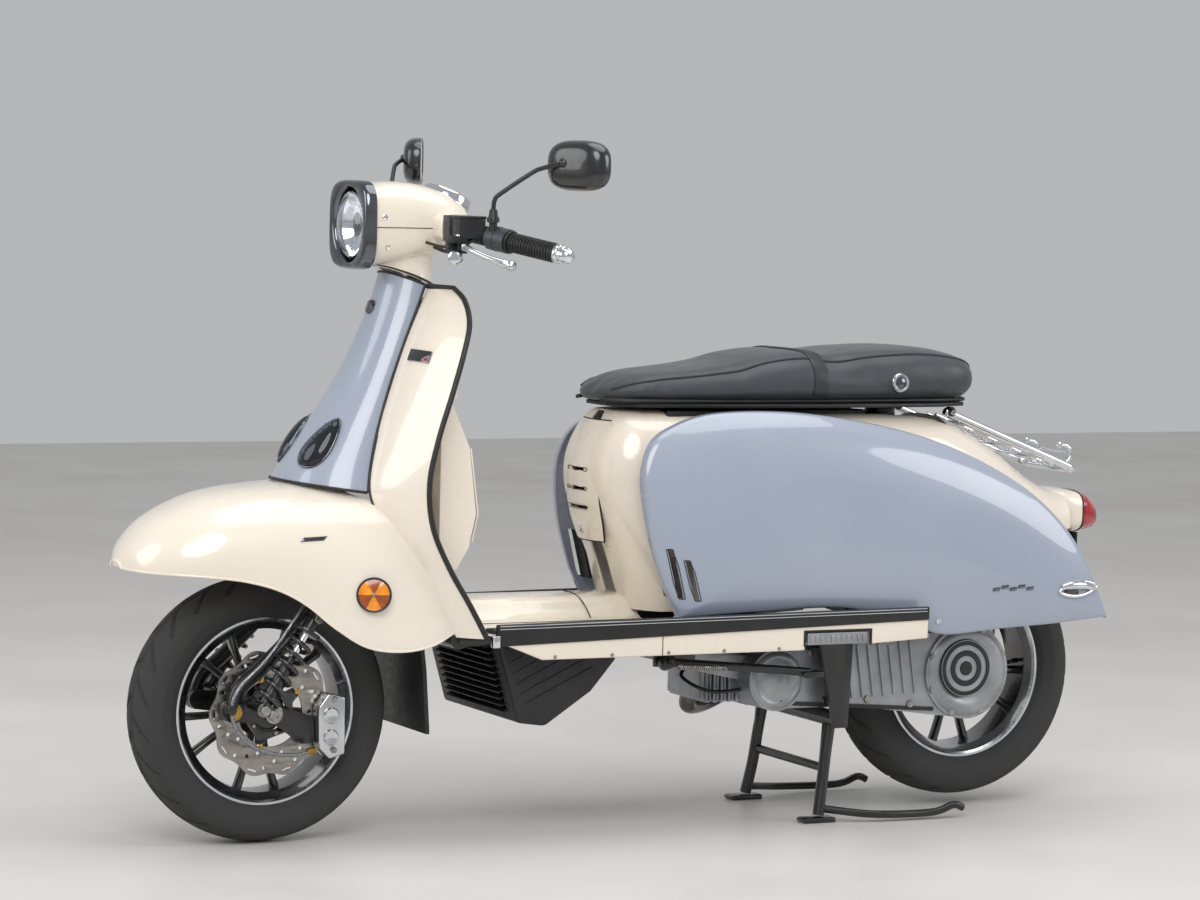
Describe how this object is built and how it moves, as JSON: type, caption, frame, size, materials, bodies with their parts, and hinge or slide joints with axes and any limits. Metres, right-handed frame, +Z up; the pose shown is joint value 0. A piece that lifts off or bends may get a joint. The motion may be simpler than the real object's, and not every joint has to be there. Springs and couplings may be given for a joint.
{
  "type": "scooter",
  "caption": "Retro scooter with fixed front mudguard, legshield, step-through floor, long domed side panels, stepped dual seat, rear rack and centre stand; steers, rolls and folds open.",
  "frame": {"origin": "on the ground, under the centre of the whole scooter's box", "axes": "+X forward, the way it rides; +Y to the rider's left; +Z up"},
  "size_m": [1.959, 0.7936, 1.221],
  "materials": {
    "frame_black": "satin black powder coat",
    "cream_paint": "painted and lacquered",
    "blue_paint": "painted and lacquered",
    "black_plastic": "textured",
    "chrome": "polished",
    "lamp_glass": "clear",
    "amber_lens": "faceted",
    "red_lens": "gloss",
    "rubber": "moulded",
    "tyre_rubber": "treaded",
    "alloy_black": "gloss black with a turned lip",
    "cast_alloy": "as cast",
    "disc_steel": "ground",
    "vinyl": "grained vinyl",
    "dark_lens": "smoked",
    "exhaust_steel": "satin",
    "steel": "ground",
    "red_plastic": "gloss"
  },
  "bodies": {
    "chassis": {"main_frame": "frame_black", "steering_bearings": "steel", "front_fender": "cream_paint", "splash_guard": "black_plastic", "horncast": "blue_paint", "horncast_lamps": "dark_lens", "legshield": "cream_paint", "side_reflectors": "amber_lens", "glovebox": "cream_paint", "floorboard": "cream_paint", "runner_strips": "rubber", "side_sills": "cream_paint", "radiator_shroud": "black_plastic", "radiator": "cast_alloy", "body_shell": "cream_paint", "access_cover": "cream_paint", "side_panels": "blue_paint", "panel_handles": "chrome", "rear_rack": "chrome", "tail_lamp_housing": "cream_paint", "tail_lens": "red_lens", "storage_bucket": "black_plastic", "fuel_tank": "black_plastic"},
    "glovebox_door": {"glovebox_lid": "cream_paint"},
    "ignition_barrel": {"ignition_lock": "steel"},
    "seat": {"seat_base": "black_plastic", "seat_cushion": "vinyl", "seat_buttons": "chrome"},
    "steering": {"fork": "frame_black", "headset": "cream_paint", "headlamp_bezel": "chrome", "headlamp_lens": "lamp_glass", "instrument": "black_plastic", "handlebar": "chrome", "left_grip": "rubber", "switch_pods": "black_plastic", "master_cylinders": "frame_black", "brake_hose": "rubber", "front_spring": "frame_black"},
    "throttle": {"throttle_grip": "rubber"},
    "left_lever": {"brake_lever_left": "chrome"},
    "right_lever": {"brake_lever_right": "chrome"},
    "left_mirror": {"mirror_left": "black_plastic"},
    "right_mirror": {"mirror_right": "black_plastic"},
    "horn_switch": {"horn_button": "black_plastic"},
    "starter_switch": {"start_button": "red_plastic"},
    "link": {"front_link": "frame_black", "brake_caliper": "cast_alloy"},
    "front_wheel": {"front_tyre": "tyre_rubber", "front_rim": "alloy_black", "brake_disc": "disc_steel"},
    "engine": {"engine_case": "cast_alloy", "muffler": "exhaust_steel", "rear_spring": "frame_black"},
    "rear_wheel": {"rear_tyre": "tyre_rubber", "rear_rim": "alloy_black"},
    "main_stand": {"centre_stand": "frame_black"},
    "prop_stand": {"side_stand": "frame_black"},
    "left_peg": {"footpeg_left": "chrome"},
    "right_peg": {"footpeg_right": "chrome"}
  },
  "joints": [
    {"name": "steering_turn", "type": "hinge", "parent": "chassis", "child": "steering", "pos_m": [0.4, 0, 1.065], "axis": [-0.3584, 0, 0.9336], "range_deg": [-35, 35]},
    {"name": "front_link_swing", "type": "hinge", "parent": "steering", "child": "link", "pos_m": [0.796, 0, 0.238], "axis": [0, 1, 0], "range_deg": [0, 28], "stiffness_Nm_per_rad": 160, "springref_deg": -34.38, "deforming": ["front_spring"]},
    {"name": "front_wheel_spin", "type": "hinge", "parent": "link", "child": "front_wheel", "pos_m": [0.716, 0, 0.2295], "axis": [0, 1, 0], "continuous": true},
    {"name": "engine_swing", "type": "hinge", "parent": "chassis", "child": "engine", "pos_m": [-0.062, 0, 0.3], "axis": [0, 1, 0], "range_deg": [0, 8], "stiffness_Nm_per_rad": 4000, "springref_deg": -8.59, "deforming": ["rear_spring"]},
    {"name": "rear_wheel_spin", "type": "hinge", "parent": "engine", "child": "rear_wheel", "pos_m": [-0.678, 0, 0.2532], "axis": [0, 1, 0], "continuous": true},
    {"name": "centre_stand_swing", "type": "hinge", "parent": "chassis", "child": "main_stand", "pos_m": [-0.35, 0, 0.188], "axis": [0, 1, 0], "range_deg": [0, 60]},
    {"name": "side_stand_swing", "type": "hinge", "parent": "chassis", "child": "prop_stand", "pos_m": [0.016, 0.186, 0.308], "axis": [0.0306, -0.94, -0.3397], "range_deg": [0, 92], "stiffness_Nm_per_rad": 2, "springref_deg": -34.38},
    {"name": "seat_hinge", "type": "hinge", "parent": "chassis", "child": "seat", "pos_m": [0.084, 0, 0.752], "axis": [0, 1, 0], "range_deg": [0, 70]},
    {"name": "glovebox_lid_hinge", "type": "hinge", "parent": "chassis", "child": "glovebox_door", "pos_m": [0.377, 0, 0.524], "axis": [0, -1, 0], "range_deg": [0, 60]},
    {"name": "ignition_turn", "type": "hinge", "parent": "chassis", "child": "ignition_barrel", "pos_m": [0.392, -0.02, 0.828], "axis": [1, 0, 0], "range_deg": [0, 90]},
    {"name": "throttle_turn", "type": "hinge", "parent": "steering", "child": "throttle", "pos_m": [0.423, -0.12, 1.067], "axis": [-0.4076, -0.9005, -0.1517], "range_deg": [-75, 0], "stiffness_Nm_per_rad": 0.3, "springref_deg": 34.38},
    {"name": "left_brake_lever", "type": "hinge", "parent": "steering", "child": "left_lever", "pos_m": [0.436, 0.192, 1.036], "axis": [0, 0, 1], "range_deg": [0, 16], "stiffness_Nm_per_rad": 4, "springref_deg": -11.46},
    {"name": "right_brake_lever", "type": "hinge", "parent": "steering", "child": "right_lever", "pos_m": [0.436, -0.192, 1.036], "axis": [0, 0, -1], "range_deg": [0, 16], "stiffness_Nm_per_rad": 4, "springref_deg": -11.46},
    {"name": "left_mirror_turn", "type": "hinge", "parent": "steering", "child": "left_mirror", "pos_m": [0.388, 0.222, 1.074], "axis": [0, 0, 1], "range_deg": [-25, 25]},
    {"name": "right_mirror_turn", "type": "hinge", "parent": "steering", "child": "right_mirror", "pos_m": [0.388, -0.222, 1.074], "axis": [0, 0, 1], "range_deg": [-25, 25]},
    {"name": "horn_press", "type": "slide", "parent": "steering", "child": "horn_switch", "axis": [1, 0, 0], "range_m": [0, 0.003], "stiffness_N_per_m": 400, "springref_m": -0.002},
    {"name": "start_press", "type": "slide", "parent": "steering", "child": "starter_switch", "axis": [1, 0, 0], "range_m": [0, 0.003], "stiffness_N_per_m": 400, "springref_m": -0.002},
    {"name": "left_peg_fold", "type": "hinge", "parent": "chassis", "child": "left_peg", "pos_m": [0, 0.232, 0.339], "axis": [-1, 0, 0], "range_deg": [0, 85]},
    {"name": "right_peg_fold", "type": "hinge", "parent": "chassis", "child": "right_peg", "pos_m": [0, -0.232, 0.339], "axis": [1, 0, 0], "range_deg": [0, 85]}
  ]
}
